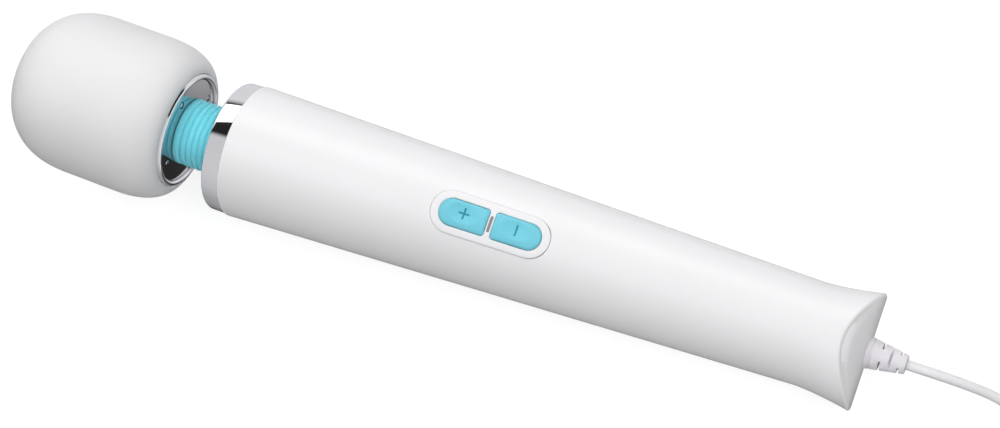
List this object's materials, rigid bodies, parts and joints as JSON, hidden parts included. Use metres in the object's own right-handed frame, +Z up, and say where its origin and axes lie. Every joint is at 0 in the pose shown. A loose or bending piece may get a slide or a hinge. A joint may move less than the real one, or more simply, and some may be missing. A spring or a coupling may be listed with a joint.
{
  "type": "handheld wand massager",
  "caption": "Corded handheld massage wand: domed soft head on a sprung ribbed neck, motor in a tapering handle with plus and minus buttons, flared tail, cord to a plug-top adapter.",
  "frame": {"origin": "on the surface that the wand lies on, under the middle of the wand without its cord", "axes": "+X along the wand from the head to the tail, +Y to its left as seen from the tail, +Z up, out of the button side"},
  "size_m": [0.5198, 0.0669, 0.0646],
  "materials": {
    "cushion": "satin, skin-soft",
    "shell_plastic": "polished",
    "inner_plastic": "moulded",
    "chrome_trim": "mirror polished",
    "small_screws": "dark zinc",
    "teal_rubber": "satin",
    "button_teal": "satin",
    "grey_lens": "frosted",
    "bronze": "sintered",
    "steel": "turned",
    "iron": "as cast",
    "black_plastic": "moulded",
    "black_rubber": "moulded",
    "board_green": "solder mask",
    "wire_red": "satin",
    "wire_grey": "satin",
    "relief_rubber": "satin",
    "cord_white": "satin",
    "tie_grey": "woven",
    "adapter_plastic": "fine textured",
    "blade_metal": "plated"
  },
  "bodies": {
    "handle": {"collar_ring": "chrome_trim", "neck_socket": "inner_plastic", "bulkhead": "inner_plastic", "socket_screws": "steel", "handle_top_shell": "shell_plastic", "handle_bottom_shell": "shell_plastic", "housing_screws": "steel", "motor_can": "steel", "motor_end_cap": "black_plastic", "motor_magnets": "iron", "motor_bush_front": "bronze", "motor_bush_rear": "bronze", "motor_isolator_front": "black_rubber", "motor_isolator_rear": "black_rubber", "circuit_board": "board_green", "board_screws": "steel", "switch_bodies": "black_plastic", "capacitor": "black_plastic", "driver_chip": "black_plastic", "indicator_led": "inner_plastic", "indicator_lens": "grey_lens", "button_bezel": "shell_plastic", "motor_leads": "wire_red", "supply_leads": "wire_grey", "cord_clamp": "inner_plastic", "clamp_screws": "steel", "strain_relief": "relief_rubber", "cord_lead": "cord_white", "cord_coil": "cord_white", "cord_tie": "tie_grey", "cord_tail": "cord_white", "adapter_base": "adapter_plastic", "adapter_cover": "adapter_plastic", "adapter_blades": "blade_metal", "adapter_transformer": "iron", "adapter_strain_relief": "relief_rubber"},
    "neck": {"neck_sleeve": "teal_rubber", "neck_spring": "steel"},
    "head": {"head_cushion": "cushion", "head_core_front": "inner_plastic", "head_core_rear": "inner_plastic", "head_plate": "chrome_trim", "plate_screws": "small_screws", "spring_seat": "steel", "head_bush_front": "bronze", "head_bush_rear": "bronze"},
    "eccentric": {"eccentric_shaft": "steel", "eccentric_weight": "iron"},
    "drive": {"drive_spring": "steel"},
    "rotor": {"rotor_shaft": "steel", "rotor_core": "iron", "commutator": "bronze"},
    "plus": {"plus_button": "button_teal", "plus_stem": "inner_plastic"},
    "minus": {"minus_button": "button_teal", "minus_stem": "inner_plastic"}
  },
  "joints": [
    {"name": "neck_nod", "type": "hinge", "parent": "handle", "child": "neck", "pos_m": [-0.09397, -0.0018, 0.02896], "axis": [0, 1, 0], "range_deg": [-18, 18], "stiffness_Nm_per_rad": 6, "deforming": ["neck_sleeve", "neck_spring"]},
    {"name": "neck_sway", "type": "hinge", "parent": "neck", "child": "head", "pos_m": [-0.09397, -0.0018, 0.02896], "axis": [0.0419, 0, 0.9991], "range_deg": [-18, 18], "stiffness_Nm_per_rad": 6},
    {"name": "motor_spin", "type": "hinge", "parent": "handle", "child": "rotor", "pos_m": [-0.04681, -0.0018, 0.02699], "axis": [0.9991, 0, -0.0419], "continuous": true},
    {"name": "drive_spin", "type": "hinge", "parent": "neck", "child": "drive", "pos_m": [-0.09397, -0.0018, 0.02896], "axis": [0.9991, 0, -0.0419], "continuous": true, "deforming": ["drive_spring"]},
    {"name": "eccentric_spin", "type": "hinge", "parent": "head", "child": "eccentric", "pos_m": [-0.13662, -0.00038, 0.03225], "axis": [0.9965, -0.0331, -0.0767], "continuous": true},
    {"name": "plus_press", "type": "slide", "parent": "handle", "child": "plus", "axis": [-0.0419, 0, -0.9991], "range_m": [0, 0.0008], "stiffness_N_per_m": 2000},
    {"name": "minus_press", "type": "slide", "parent": "handle", "child": "minus", "axis": [-0.0419, 0, -0.9991], "range_m": [0, 0.0008], "stiffness_N_per_m": 2000}
  ],
  "couplings": [
    {"joint": "drive_spin", "follows": "motor_spin", "ratio": 1},
    {"joint": "eccentric_spin", "follows": "motor_spin", "ratio": 1}
  ]
}
